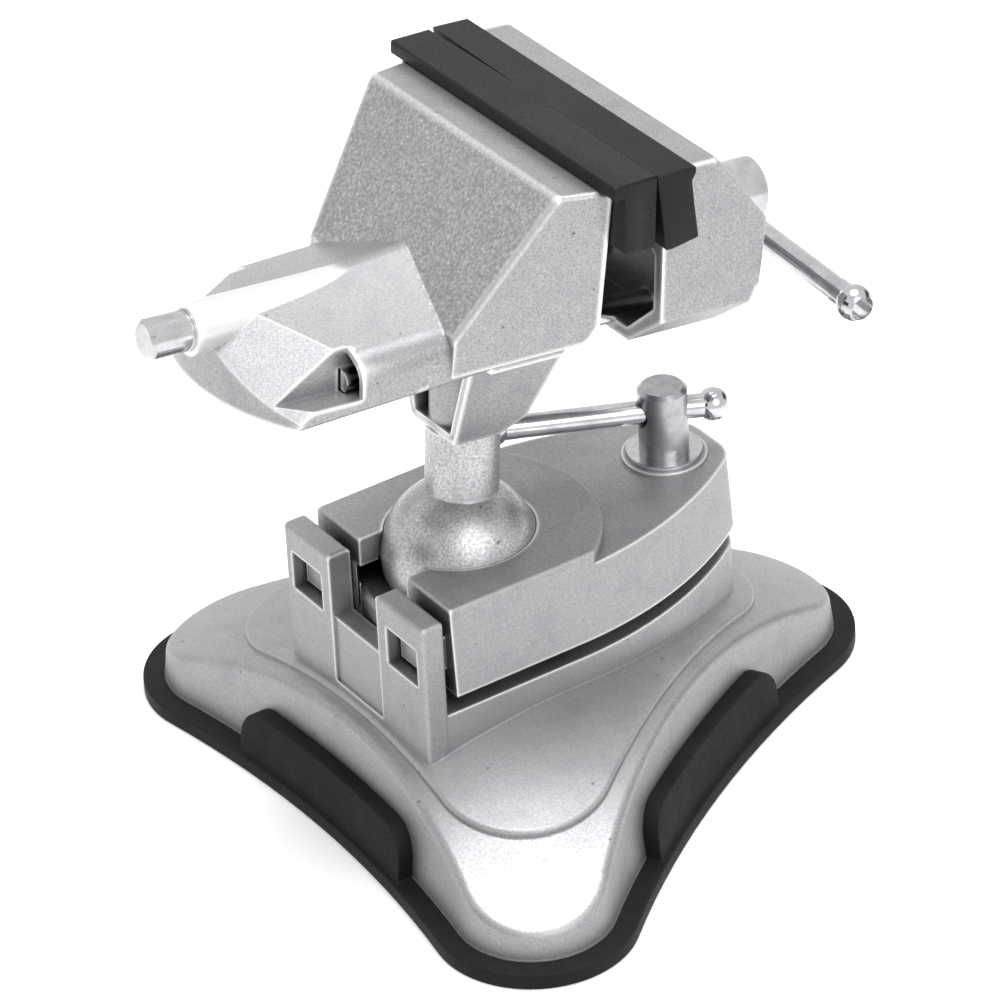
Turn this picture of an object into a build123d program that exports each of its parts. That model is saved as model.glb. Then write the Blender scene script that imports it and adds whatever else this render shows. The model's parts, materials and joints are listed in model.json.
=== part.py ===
# Suction base vise: a domed three-lobed casting on a rubber suction pad, a ball joint clamped by a
# lever plate, and a small screw vise with rubber jaw caps. Millimetres, +Z up.
# X runs along the clamp plate, from the two posts (-X) to the clamp screw (+X).
# The origin is the centre of the three lobes, on the ground.
import os
from math import cos, pi, radians, sin, sqrt, tan

from build123d import *

os.makedirs("parts", exist_ok=True)

# ---- driving dimensions -------------------------------------------------------------------------
running_fit = 0.05  # radial clearance of shafts that turn or slide
free_gap = 0.3  # clearance of pieces that only stand beside each other

# suction pad and base shell
lobe_distance = 60.5
pad_lobe_radius = 20.4
pad_side_radius = 261.0
pad_thickness = 3.3
pad_lip = 4.4
diaphragm_rise = 0.7
diaphragm_radius = 25.0
flap_length = 57.0
flap_height = 10.5
flap_thickness = 3.4
flap_corner = 6.5
flap_angles = (180, 300)
wall_draft = 7.0
shell_wall = 4.0
crown_height = 28.0
crown_radius = 160.0
crown_edge_round = 2.0
deck_rise = 1.5
deck_edge_round = 0.9
deck_lobe_distance = 38.5
deck_lobe_radius = 18.0
deck_side_radius = 430.0

# cam shaft and puller under the shell
lever_azimuth = 60.0
shaft_height = 14.0
shaft_radius = 4.5
crank_throw = 1.5
crank_radius = 2.8
crank_length = 13.0
clip_width = 2.5
clip_thickness = 1.0
bearing_wall = 4.0
bearing_width = 15.0
bearing_drop = 5.4
boss_radius = 7.5
boss_reach = 48.4
lever_thickness = 5.0
lever_length = 47.5
lever_root_width = 15.0
lever_tip_width = 9.0
grip_length = 24.0
grip_wall = 1.6
grip_corner = 2.5
grip_edge_round = 1.0
lever_tip_taper = 0.8
lever_screw_radius = shaft_radius + 1.2
lever_screw_height = 2.6
lever_screw_round = 1.0
lever_slot_length = 8.0
lever_slot_width = 1.0
lever_slot_depth = 1.0
plate_disc_radius = 20.0
plate_disc_thickness = 1.5
plate_disc_edge = 0.6
stud_width = 14.5
stud_thickness = 9.0
stud_wall = 3.0
eye_play = 0.45

# ball joint
ball_x = -9.3
ball_height = 50.84
ball_radius = 15.8
ball_play = 0.15
shank_radius = 7.33
spigot_radius = 5.0
spigot_top = 47.0
stud_clip_thickness = 1.2
stud_clip_overhang = 2.0
cup_depth = 5.24  # the cup's rim, below the middle of the ball
cup_floor = 1.54
cup_top = ball_height - cup_depth
cup_edge = 0.8
cup_drain_radius = 4.5

# clamp body, posts and clamp plate
block_top = ball_height - ball_radius - cup_floor
block_half_width = 24.3
block_draft = 1.0
block_root = 16.0
body_draft = 3.5
wall_back = -34.67
wall_thickness = 5.07
wall_drop = 9.84
wall_top = ball_height - wall_drop
panel_recess = 0.7
panel_foot = 26.2
post_rise = 4.36
post_top = ball_height + post_rise
post_half_width = 24.5
post_edge_round = 0.9
slot_half_width = 8.33
window_inner = 11.5
window_outer = 22.0
window_drop = 1.34
window_top = ball_height - window_drop
plate_back = -27.39
plate_half_width = 23.3
plate_gap = 3.5  # open height between the block and the plate's rim
plate_bottom = block_top + plate_gap
plate_rise = 5.42
plate_top = ball_height + plate_rise
plate_skin = 6.2
plate_wall = 3.0
plate_edge_round = 0.6
plate_arc_start = 2.0
plate_arc_radius = 80.0
plate_nose = 50.5
plate_nose_round = 7.0
plate_step = 2.8
plate_step_radius = 28.0
tongue_reach = 4.6
tongue_side_gap = 0.8
tongue_height = 7.3
tongue_play = 0.2

# clamp screw and its bar
clamp_x = 39.65
clamp_radius = 4.0
clamp_hole_play = 0.6
clamp_end = 12.0
clamp_boss_radius = 8.6
clamp_boss_rise = 0.74
clamp_tube_radius = 7.0
washer_radius = 7.6
washer_thickness = 1.05
clamp_head_radius = 5.0
clamp_head_height = 14.4
clamp_cross_rise = 13.16
clamp_cross_height = ball_height + clamp_cross_rise
clamp_bar_radius = 2.4
clamp_bar_azimuth = 161.0
clamp_bar_tilt = 4.5
clamp_bar_reach = 35.0
clamp_bar_stub = 10.4
clamp_knob_radius = 3.4
cross_hole_play = 0.5

# vise head: its own frame has s toward the moving jaw, y to the left and h up the shank
head_yaw = -2.31
head_pitch = 6.01
head_roll = -3.07
neck_foot = 28.0
neck_foot_half_width = 8.0
neck_flare = 17.0
neck_back = -6.9
neck_sole = 3.5
neck_chin = 8.9
neck_chin_rise = 2.9
neck_front = 14.2
neck_front_h = 45.0
neck_pocket_floor = 1.8
neck_pocket_top = 52.0
neck_pocket_depth = 14.0
neck_wall = 1.6
neck_boss_radius = 6.7
neck_boss_top = 45.5
jaw_front = 9.4
jaw_top = 89.15
jaw_crest = -1.0
jaw_slope_foot = -18.9
jaw_slope_foot_h = 61.5
jaw_heel_h = 53.0
jaw_toe = 7.3
jaw_toe_h = 56.6
jaw_front_foot_h = 60.0
jaw_side_h = 78.0
groove_lip = 8.6
groove_depth = 6.6
groove_bottom = 79.0
groove_back = 81.0
groove_wall = 1.4
rounded_from = 63.0
jaw_half_width = 35.0
groove_half_length = jaw_half_width - groove_wall
jaw_side_lean = 0.222
jaw_side_draft = 0.111
belly_half_width = 25.5
tail_ridge = 70.2
tail_eave = 61.2
tail_droop = 0.104
tail_eave_droop = 0.042
tail_bottom_droop = 0.055
tail_start = -10.0
tail_end = -58.0
tail_corner = -51.0
hip_start = -37.6
hip_h = 60.0
hip_tilt = 40.8
hip_turn = 42.5
tail_eave_round = 6.0
tail_edge_round = 1.2
tail_wall = 3.0
tail_ridge_round = 5.0
tail_hollow_start = -21.0
tail_hollow_end = -48.5
tail_hollow_top = 56.2
screw_boss_radius = 5.1
screw_boss_reach = 3.4
nose_start = -38.0
nose_half_width = 19.4
rod_niche_depth = 8.0
rod_niche_side = 1.4
rod_niche_round = 3.2

# screw, rods and moving jaw
screw_h = 62.8
screw_radius = 4.0
screw_end = -70.4
spindle_head_radius = 6.3
spindle_head_end = 66.5
spindle_cross = 57.0
spindle_bar_turn = 3.5
spindle_clip_thickness = 1.0
spindle_clip_radius = 6.0
bar_radius = 2.4
bar_reach = 48.5
bar_knob_radius = 3.6
knob_neck = 1.45  # reach of a knob's neck, in knob radii
bar_stub = spindle_head_radius + knob_neck * bar_knob_radius + free_gap
rod_y = 19.6
rod_h = 55.2
rod_radius = 2.45
belly_cover = 3.7  # from the rods' axis down to the underside of the jaws
belly_bottom = rod_h - belly_cover
tail_cover = 3.2
tail_bottom = rod_h - tail_cover
nose_lip_cover = 2.0
nose_lip_top = rod_h - nose_lip_cover
niche_rise = 5.4
rod_niche_top = rod_h + niche_rise
niche_eave_rise = 3.2
rod_niche_eave = rod_h + niche_eave_rise
moving_side_rise = 4.3
moving_side_bottom = rod_h + moving_side_rise
moving_floor_cover = 1.2
moving_floor = rod_h - moving_floor_cover
rod_end = -39.5
rod_seat = 40.0
rod_pin_radius = 1.5
moving_half_width = 37.0
moving_face = 20.5
moving_wall = 2.6
moving_inside = 29.0
moving_crest_end = 32.5
moving_heel = 41.6
moving_heel_h = 60.8
moving_hip = 43.2
moving_hip_rise = 2.1
moving_hip_h = moving_heel_h + moving_hip_rise
moving_waist = 43.8
moving_waist_rise = 6.3
moving_waist_h = moving_hip_h + moving_waist_rise
moving_shoulder = 44.4
moving_shoulder_rise = 6.7
moving_shoulder_h = moving_waist_h + moving_shoulder_rise
moving_wall_back = 0.6
moving_under_tilt = 36.4
moving_edge_round = 1.0
spindle_boss_radius = 6.8
spindle_boss_end = 44.6
cap_half_length = 40.5
cap_top = 92.4
cap_depth = 14.8
cap_foot = cap_top - cap_depth
cap_crest = 25.3
cap_throat = 24.5
cap_throat_drop = 2.8
cap_throat_h = cap_top - cap_throat_drop
cap_waist = 25.1
cap_waist_drop = 7.4
cap_waist_h = cap_top - cap_waist_drop
cap_back = 26.3
cap_foot_slope = 1.2
moving_inside_cover = 2.8
moving_inside_top = cap_foot - cap_foot_slope - moving_inside_cover
cap_lean = 2.6
cap_edge = 7.0
cap_edge_drop = 0.4
cap_meeting = 16.35
cap_gap = 0.1
cap_lip = 1.4

jaw_edge_round = 1.4

# ---- planes worked out from the sizes -----------------------------------------------------------
head_frame = Plane(
    Location((ball_x, 0, ball_height))
    * Location((0, 0, 0), (0, 0, head_yaw))
    * Location((0, 0, 0), (0, head_pitch, 0))
    * Location((0, 0, 0), (head_roll, 0, 0))
)
head_side = Plane(origin=head_frame.origin, x_dir=head_frame.x_dir, z_dir=-head_frame.y_dir)
head_end = Plane(origin=head_frame.origin, x_dir=head_frame.y_dir, z_dir=head_frame.x_dir)
lever_turn = radians(lever_azimuth)
spindle_turn = radians(spindle_bar_turn)
hip_lean = radians(hip_tilt)
hip_yaw = radians(hip_turn)
spindle_head_start = spindle_boss_end + free_gap
shaft_plane = Plane(
    origin=(0, 0, shaft_height),
    x_dir=(-sin(lever_turn), cos(lever_turn), 0),
    z_dir=(cos(lever_turn), sin(lever_turn), 0),
)


def in_head(s, y, h):
    """The world point of a point of the head's own frame."""
    return head_frame.from_local_coords(Vector(s, y, h))


def along_head(s, y, h):
    """The world direction of a direction of the head's own frame."""
    return in_head(s, y, h) - in_head(0, 0, 0)


def head_edges(part, start, end):
    """The edges of a jaw's upper half whose middles lie between two places along the screw."""
    chosen = []
    for edge in part.edges():
        spot = head_frame.to_local_coords(edge.center())
        if start < spot.X < end and spot.Z > rounded_from:
            chosen.append(edge)
    return chosen


def lobed_outline(distance, lobe_radius, side_radius):
    """Three round lobes joined by hollow sides, tangent all round."""
    half = pi / 3
    reach = lobe_radius + side_radius
    side_centre = distance * cos(half) + sqrt(reach**2 - (distance * sin(half)) ** 2)
    share = lobe_radius / reach

    def on_ray(length, turn):
        return Vector(length * cos(turn), length * sin(turn))

    with BuildSketch(mode=Mode.PRIVATE) as outline:
        with BuildLine():
            for lobe in range(3):
                turn = 2 * half * lobe
                centre = on_ray(distance, turn)
                start = centre + (on_ray(side_centre, turn - half) - centre) * share
                end = centre + (on_ray(side_centre, turn + half) - centre) * share
                following = on_ray(distance, turn + 2 * half)
                side_end = following + (on_ray(side_centre, turn + half) - following) * share
                ThreePointArc(start, on_ray(distance + lobe_radius, turn), end)
                ThreePointArc(end, on_ray(side_centre - side_radius, turn + half), side_end)
        make_face()
    return outline.sketch


def clamp_outline(half_width, back):
    """Plan of the clamp plate and of the block below it: straight, then drawn in to a round nose."""
    reach = plate_nose - plate_arc_start
    nose_half_width = half_width - plate_arc_radius + sqrt(plate_arc_radius**2 - reach**2)
    middle = reach / 2
    middle_half_width = half_width - plate_arc_radius + sqrt(plate_arc_radius**2 - middle**2)
    with BuildSketch(mode=Mode.PRIVATE) as outline:
        with BuildLine():
            Line((back, half_width), (back, -half_width))
            Line((plate_nose, -nose_half_width), (plate_nose, nose_half_width))
            for side in (-1, 1):
                Line((back, side * half_width), (plate_arc_start, side * half_width))
                ThreePointArc(
                    (plate_arc_start, side * half_width),
                    (plate_arc_start + middle, side * middle_half_width),
                    (plate_nose, side * nose_half_width),
                )
        make_face()
        fillet(outline.vertices().group_by(Axis.X)[-1], radius=plate_nose_round)
    return outline.sketch


def save(part, label):
    part.label = label
    export_step(part, "parts/" + label + ".step")


pad_outline = lobed_outline(lobe_distance, pad_lobe_radius, pad_side_radius)
shell_outline = lobed_outline(lobe_distance, pad_lobe_radius - pad_lip, pad_side_radius + pad_lip)
deck_outline = lobed_outline(deck_lobe_distance, deck_lobe_radius, deck_side_radius)
shell_foot = Plane.XY.offset(pad_thickness)

# ---- suction pad: rubber sheet with two flaps that lap up the shell ------------------------------
side_reach = lobe_distance + pad_lobe_radius
with BuildPart() as flap_windows:
    for flap_angle in flap_angles:
        flap_turn = radians(flap_angle)
        flap_plane = Plane(
            origin=(0, 0, pad_thickness),
            x_dir=(-sin(flap_turn), cos(flap_turn), 0),
            z_dir=(cos(flap_turn), sin(flap_turn), 0),
        )
        with BuildSketch(flap_plane):
            RectangleRounded(flap_length, 2 * flap_height, flap_corner)
        extrude(amount=side_reach)

flap_outline = lobed_outline(
    lobe_distance,
    pad_lobe_radius - pad_lip + flap_thickness,
    pad_side_radius + pad_lip - flap_thickness,
)
with BuildPart() as suction_pad:
    with BuildSketch(shell_foot):
        add(flap_outline)
    extrude(amount=flap_height, taper=wall_draft)
    with BuildSketch(shell_foot):
        add(shell_outline)
    extrude(amount=flap_height, taper=wall_draft, mode=Mode.SUBTRACT)
    add(flap_windows.part, mode=Mode.INTERSECT)
    with BuildSketch():
        add(pad_outline)
    extrude(amount=pad_thickness)
    with BuildSketch(shell_foot):
        Circle(diaphragm_radius)
    extrude(amount=diaphragm_rise)
save(suction_pad.part, "suction_pad")

# ---- puller: disc and eyed stud that lift the middle of the pad ----------------------------------
disc_bottom = pad_thickness + diaphragm_rise
disc_top = disc_bottom + plate_disc_thickness
eye_height = shaft_height - crank_throw
eye_half_height = crank_radius + eye_play
stud_stem_radius = stud_thickness / 2 - free_gap
with BuildPart() as pad_plate:
    with BuildSketch(Plane.XY.offset(disc_bottom)):
        Circle(plate_disc_radius)
        Circle(stud_stem_radius, mode=Mode.SUBTRACT)
    extrude(amount=plate_disc_thickness)
    upper_rims = pad_plate.edges().filter_by(GeomType.CIRCLE).group_by(Axis.Z)[-1]
    chamfer(upper_rims.sort_by(SortBy.RADIUS)[-1], plate_disc_edge)
save(pad_plate.part, "pad_plate")

with BuildPart() as pull_stud:
    with BuildSketch(Plane.XY.offset(disc_bottom)):
        Circle(stud_stem_radius)
    extrude(amount=plate_disc_thickness)
    with BuildSketch(shaft_plane):
        with Locations((0, (disc_top + eye_height + eye_half_height + stud_wall) / 2 - shaft_height)):
            Rectangle(stud_width, eye_height + eye_half_height + stud_wall - disc_top)
        with Locations((0, eye_height - shaft_height)):
            SlotOverall(
                2 * (crank_radius + crank_throw + free_gap), 2 * eye_half_height, mode=Mode.SUBTRACT
            )
    extrude(amount=stud_thickness / 2, both=True)
save(pull_stud.part, "pull_stud")

# ---- base casting: domed shell, raised deck, clamp block and the two posts -----------------------
with BuildPart() as deck:
    with BuildSketch(shell_foot):
        add(deck_outline)
    extrude(amount=crown_height)
    with Locations((0, 0, crown_height - crown_radius)):
        Sphere(crown_radius + deck_rise, mode=Mode.INTERSECT)
    fillet(deck.faces().filter_by(GeomType.SPHERE).edges(), radius=deck_edge_round)

hollow_outline = lobed_outline(
    lobe_distance, pad_lobe_radius - pad_lip - shell_wall, pad_side_radius + pad_lip + shell_wall
)
with BuildPart() as hollow:
    with BuildSketch(shell_foot):
        add(hollow_outline)
    extrude(amount=crown_height, taper=wall_draft)
    with Locations((0, 0, crown_height - crown_radius)):
        Sphere(crown_radius - shell_wall, mode=Mode.INTERSECT)

window_y = (window_inner + window_outer) / 2
with BuildPart() as post_wall:
    with BuildSketch(Plane.XY.offset(block_root)):
        with Locations((wall_back, 0)):
            Rectangle(wall_thickness, 2 * post_half_width, align=(Align.MIN, Align.CENTER))
    extrude(amount=post_top - block_root)
    with BuildSketch(Plane.YZ.offset(wall_back)):
        with Locations((0, wall_top)):
            Rectangle(2 * slot_half_width, post_top, align=(Align.CENTER, Align.MIN))
    extrude(amount=wall_thickness, mode=Mode.SUBTRACT)
    with BuildSketch(Plane.YZ.offset(wall_back)):
        with Locations((0, panel_foot)):
            Rectangle(2 * slot_half_width, wall_top - panel_foot, align=(Align.CENTER, Align.MIN))
    extrude(amount=panel_recess, mode=Mode.SUBTRACT)
    upright = post_wall.edges().filter_by(Axis.Z).group_by(Axis.Y)
    fillet(upright[0] + upright[-1], radius=post_edge_round)
    fillet(post_wall.faces().group_by(Axis.Z)[-1].edges(), radius=post_edge_round)
    with BuildSketch(Plane.YZ.offset(wall_back)):
        with Locations((window_y, wall_top), (-window_y, wall_top)):
            Rectangle(window_outer - window_inner, window_top - wall_top, align=(Align.CENTER, Align.MIN))
    extrude(amount=wall_thickness, mode=Mode.SUBTRACT)

bearing_faces = (crank_length / 2, -crank_length / 2 - bearing_wall)
with BuildPart() as base_casting:
    with BuildSketch(shell_foot):
        add(shell_outline)
    extrude(amount=crown_height, taper=wall_draft)
    with Locations((0, 0, crown_height - crown_radius)):
        Sphere(crown_radius, mode=Mode.INTERSECT)
    fillet(base_casting.faces().filter_by(GeomType.SPHERE).edges(), radius=crown_edge_round)
    add(deck.part)
    # block under the clamp plate
    with BuildSketch(Plane.XY.offset(block_top)):
        add(clamp_outline(block_half_width, wall_back + wall_thickness / 2))
    extrude(amount=block_root - block_top, taper=-block_draft)
    # boss of the cam shaft
    with BuildSketch(shaft_plane):
        Circle(boss_radius)
    extrude(amount=boss_reach)
    add(post_wall.part)
    # inside of the shell, then the bearing walls and the threaded boss that stand in it
    add(hollow.part, mode=Mode.SUBTRACT)
    for bearing_face in bearing_faces:
        with BuildSketch(shaft_plane.offset(bearing_face)):
            Rectangle(bearing_width, crown_height - shaft_height, align=(Align.CENTER, Align.MIN))
            Rectangle(bearing_width, bearing_drop, align=(Align.CENTER, Align.MAX))
        extrude(amount=bearing_wall)
    with BuildSketch(Plane.XY.offset(clamp_end - shell_wall)):
        with Locations((clamp_x, 0)):
            Circle(clamp_radius + shell_wall)
    extrude(amount=block_top - clamp_end)
    # bores
    with BuildSketch(shaft_plane.offset(crank_length / 2)):
        Circle(shaft_radius + running_fit)
    extrude(amount=boss_reach, mode=Mode.SUBTRACT)
    with BuildSketch(shaft_plane.offset(-crank_length / 2)):
        Circle(crank_radius + running_fit)
    extrude(amount=-2 * bearing_wall, mode=Mode.SUBTRACT)
    with BuildSketch(Plane.XY.offset(clamp_end - 1)):
        with Locations((clamp_x, 0)):
            Circle(clamp_radius + running_fit)
    extrude(amount=block_top, mode=Mode.SUBTRACT)
save(base_casting.part, "base_casting")

# ---- cam shaft, its clip, the suction lever and its grip -----------------------------------------
lever_face = boss_reach + free_gap
shaft_tip = crank_length / 2 + bearing_wall + clip_width
with BuildPart() as cam_shaft:
    with BuildSketch(shaft_plane.offset(crank_length / 2)):
        Circle(shaft_radius)
    extrude(amount=lever_face + lever_thickness - crank_length / 2)
    with BuildSketch(shaft_plane.offset(-crank_length / 2)):
        with Locations((0, -crank_throw)):
            Circle(crank_radius)
    extrude(amount=crank_length)
    with BuildSketch(shaft_plane.offset(-crank_length / 2)):
        Circle(crank_radius)
    extrude(amount=crank_length / 2 - shaft_tip)
save(cam_shaft.part, "cam_shaft")

with BuildPart() as shaft_clip:
    with BuildSketch(shaft_plane.offset(-crank_length / 2 - bearing_wall - free_gap)):
        Circle(crank_radius + clip_width)
        Circle(crank_radius, mode=Mode.SUBTRACT)
    extrude(amount=-clip_thickness)
save(shaft_clip.part, "shaft_clip")

grip_start = lever_length - grip_length
with BuildPart() as suction_lever:
    with BuildSketch(shaft_plane.offset(lever_face)):
        with BuildLine():
            Polyline(
                (0, lever_root_width / 2),
                (-grip_start, lever_tip_width / 2),
                (-lever_length + grip_wall, lever_tip_width / 2 - lever_tip_taper),
                (-lever_length + grip_wall, -lever_tip_width / 2 + lever_tip_taper),
                (-grip_start, -lever_tip_width / 2),
                (0, -lever_root_width / 2),
                close=True,
            )
        make_face()
        Circle(lever_root_width / 2)
        Circle(shaft_radius, mode=Mode.SUBTRACT)
    extrude(amount=lever_thickness)
save(suction_lever.part, "suction_lever")

with BuildPart() as lever_grip:
    with BuildSketch(shaft_plane.offset(lever_face - grip_wall)) as grip_side:
        with Locations((-grip_start, 0)):
            Rectangle(grip_length, lever_tip_width + 2 * grip_wall, align=(Align.MAX, Align.CENTER))
        fillet(grip_side.vertices(), radius=grip_corner)
    extrude(amount=lever_thickness + 2 * grip_wall)
    fillet(lever_grip.faces().filter_by(shaft_plane).edges(), radius=grip_edge_round)
    with BuildSketch(shaft_plane.offset(lever_face)):
        with Locations((-grip_start, 0)):
            Rectangle(grip_length - grip_wall, lever_tip_width, align=(Align.MAX, Align.CENTER))
    extrude(amount=lever_thickness, mode=Mode.SUBTRACT)
save(lever_grip.part, "lever_grip")

lever_end = lever_face + lever_thickness
with BuildPart() as lever_screw:
    with BuildSketch(shaft_plane.offset(lever_end)):
        Circle(lever_screw_radius)
    extrude(amount=lever_screw_height)
    lever_screw_rim = lever_screw.edges().group_by(Axis(shaft_plane.origin, shaft_plane.z_dir))[-1]
    fillet(lever_screw_rim, radius=lever_screw_round)
    with BuildSketch(shaft_plane.offset(lever_end + lever_screw_height)):
        Rectangle(lever_slot_length, lever_slot_width)
    extrude(amount=-lever_slot_depth, mode=Mode.SUBTRACT)
save(lever_screw.part, "lever_screw")

# ---- ball cup, clamp plate ------------------------------------------------------------------------
seat_radius = ball_radius + ball_play
cup_radius = ball_x - wall_back - wall_thickness - free_gap
with BuildPart() as ball_cup:
    with BuildSketch(Plane.XY.offset(block_top)):
        with Locations((ball_x, 0)):
            Circle(cup_radius)
    extrude(amount=cup_top - block_top)
    chamfer(ball_cup.edges().group_by(Axis.Z)[-1], cup_edge)
    with Locations((ball_x, 0, ball_height)):
        Sphere(seat_radius, mode=Mode.SUBTRACT)
    with BuildSketch(Plane.XY.offset(block_top)):
        with Locations((ball_x, 0)):
            Circle(cup_drain_radius)
    extrude(amount=cup_top - block_top, mode=Mode.SUBTRACT)
save(ball_cup.part, "ball_cup")

step_level = plate_top - plate_step
tongue_top = window_top - tongue_play
tongue_width = window_outer - window_inner - 2 * tongue_side_gap
plate_hollow_top = plate_top - plate_skin
with BuildPart() as clamp_plate:
    with BuildSketch(Plane.XY.offset(plate_top)):
        add(clamp_outline(plate_half_width, plate_back - 2))
    extrude(amount=plate_bottom - plate_top, taper=-body_draft)
    split(bisect_by=Plane.YZ.offset(plate_back), keep=Keep.TOP)
    # raised field round the ball, lower level toward the screw, ring round the screw
    with BuildSketch(Plane.XY.offset(step_level)):
        with Locations((ball_x, 0)):
            Rectangle(2 * plate_nose, 3 * block_half_width, align=(Align.MIN, Align.CENTER))
            Circle(plate_step_radius, mode=Mode.SUBTRACT)
    extrude(amount=plate_step, mode=Mode.SUBTRACT)
    fillet(clamp_plate.edges().group_by(Axis.Z)[-1], radius=plate_edge_round)
    # hollow underside, with a tube round the screw
    with BuildSketch(Plane.XY.offset(plate_bottom)):
        add(clamp_outline(plate_half_width, plate_back))
        offset(amount=-plate_wall, kind=Kind.INTERSECTION, mode=Mode.REPLACE)
    extrude(amount=plate_hollow_top - plate_bottom, mode=Mode.SUBTRACT)
    with BuildSketch(Plane.XY.offset(plate_bottom)):
        with Locations((clamp_x, 0)):
            Circle(clamp_tube_radius)
    extrude(amount=plate_hollow_top - plate_bottom)
    with BuildSketch(Plane.XY.offset(step_level)):
        with Locations((clamp_x, 0)):
            Circle(clamp_boss_radius)
    extrude(amount=clamp_boss_rise)
    # tongues that hook in the posts
    with BuildSketch(Plane.YZ.offset(plate_back)):
        with Locations((window_y, tongue_top), (-window_y, tongue_top)):
            Rectangle(tongue_width, tongue_height, align=(Align.CENTER, Align.MAX))
    extrude(amount=-tongue_reach)
    with BuildSketch(Plane.YZ.offset(plate_back)):
        with Locations((window_y, tongue_top), (-window_y, tongue_top)):
            Rectangle(tongue_width, tongue_height, align=(Align.CENTER, Align.MAX))
    extrude(amount=plate_wall)
    # ball seat, slot for the shank, room for the cup, hole for the screw
    with Locations((ball_x, 0, ball_height)):
        Sphere(seat_radius, mode=Mode.SUBTRACT)
    with BuildSketch(Plane.XY.offset(plate_bottom)):
        with Locations((ball_x, 0)):
            Circle(seat_radius + free_gap)
    extrude(amount=ball_height - plate_bottom, mode=Mode.SUBTRACT)
    with BuildSketch(Plane.XY.offset(plate_bottom)):
        with Locations((ball_x, 0)):
            Circle(cup_radius + 2 * free_gap)
    extrude(amount=plate_hollow_top - plate_bottom, mode=Mode.SUBTRACT)
    with BuildSketch(Plane.XY.offset(plate_bottom)):
        with Locations((ball_x, 0)):
            Rectangle(plate_nose, 2 * slot_half_width, align=(Align.MAX, Align.CENTER))
    extrude(amount=plate_top, mode=Mode.SUBTRACT)
    with BuildSketch(Plane.XY.offset(plate_bottom)):
        with Locations((clamp_x, 0)):
            Circle(clamp_radius + clamp_hole_play)
    extrude(amount=plate_top, mode=Mode.SUBTRACT)
save(clamp_plate.part, "clamp_plate")

# ---- clamp screw, washer, bar and knobs ----------------------------------------------------------
washer_bottom = step_level + clamp_boss_rise
head_bottom = washer_bottom + washer_thickness
with BuildPart() as clamp_washer:
    with BuildSketch(Plane.XY.offset(washer_bottom)):
        with Locations((clamp_x, 0)):
            Circle(washer_radius)
            Circle(clamp_radius + 0.2, mode=Mode.SUBTRACT)
    extrude(amount=washer_thickness)
save(clamp_washer.part, "clamp_washer")

bar_turn = radians(clamp_bar_azimuth)
bar_rise = radians(clamp_bar_tilt)
clamp_bar_plane = Plane(
    origin=(clamp_x, 0, clamp_cross_height),
    x_dir=(-sin(bar_turn), cos(bar_turn), 0),
    z_dir=(cos(bar_turn) * cos(bar_rise), sin(bar_turn) * cos(bar_rise), sin(bar_rise)),
)
clamp_hole_plane = Plane(
    origin=(clamp_x, 0, clamp_cross_height),
    x_dir=(-sin(bar_turn), cos(bar_turn), 0),
    z_dir=(cos(bar_turn), sin(bar_turn), 0),
)
with BuildPart() as clamp_screw:
    with BuildSketch(Plane.XY.offset(clamp_end)):
        with Locations((clamp_x, 0)):
            Circle(clamp_radius)
    extrude(amount=head_bottom - clamp_end)
    with BuildSketch(Plane.XY.offset(head_bottom)):
        with Locations((clamp_x, 0)):
            Circle(clamp_head_radius)
    extrude(amount=clamp_head_height)
    chamfer(clamp_screw.edges().group_by(Axis.Z)[-1], 0.8)
    with BuildSketch(clamp_hole_plane):
        Circle(clamp_bar_radius + cross_hole_play)
    extrude(amount=clamp_head_radius, both=True, mode=Mode.SUBTRACT)
save(clamp_screw.part, "clamp_screw")

with BuildPart() as clamp_bar:
    with BuildSketch(clamp_bar_plane.offset(-clamp_bar_stub)):
        Circle(clamp_bar_radius)
    extrude(amount=clamp_bar_reach + clamp_bar_stub)
save(clamp_bar.part, "clamp_bar")


def knob_profile(radius, bore):
    """Half section of a ball knob with a neck collar, its ball at the origin and its neck toward +Y."""
    collar = 0.72 * radius
    with BuildSketch(mode=Mode.PRIVATE) as profile:
        Circle(radius)
        Rectangle(2 * collar, knob_neck * radius, align=(Align.CENTER, Align.MIN))
        Rectangle(2 * bore, 4 * radius, mode=Mode.SUBTRACT)
        split(bisect_by=Plane.YZ, keep=Keep.TOP)
    return profile.sketch


def turned_plane(plane, reach, outward):
    """Plane through the bar's axis, its +Y along the bar toward the bar's middle."""
    return Plane(
        origin=plane.offset(reach).origin,
        x_dir=plane.x_dir,
        z_dir=plane.x_dir.cross(plane.z_dir * -outward),
    )


with BuildPart() as clamp_bar_knobs:
    for reach, outward in ((clamp_bar_reach, 1), (-clamp_bar_stub, -1)):
        knob_plane = turned_plane(clamp_bar_plane, reach, outward)
        with BuildSketch(knob_plane):
            add(knob_profile(clamp_knob_radius, clamp_bar_radius))
        revolve(axis=Axis(knob_plane.origin, clamp_bar_plane.z_dir))
save(clamp_bar_knobs.part, "clamp_bar_knobs")

# ---- ball stud and its clip ----------------------------------------------------------------------
with BuildPart() as ball_stud:
    with Locations((ball_x, 0, ball_height)):
        Sphere(ball_radius)
    with BuildSketch(head_frame):
        Circle(shank_radius)
    extrude(amount=neck_foot)
    with BuildSketch(head_frame.offset(neck_foot)):
        Circle(spigot_radius)
    extrude(amount=spigot_top - neck_foot)
save(ball_stud.part, "ball_stud")

with BuildPart() as stud_clip:
    with BuildSketch(head_frame.offset(neck_boss_top + running_fit)):
        Circle(spigot_radius + stud_clip_overhang)
        Circle(spigot_radius, mode=Mode.SUBTRACT)
    extrude(amount=stud_clip_thickness)
save(stud_clip.part, "stud_clip")

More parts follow.
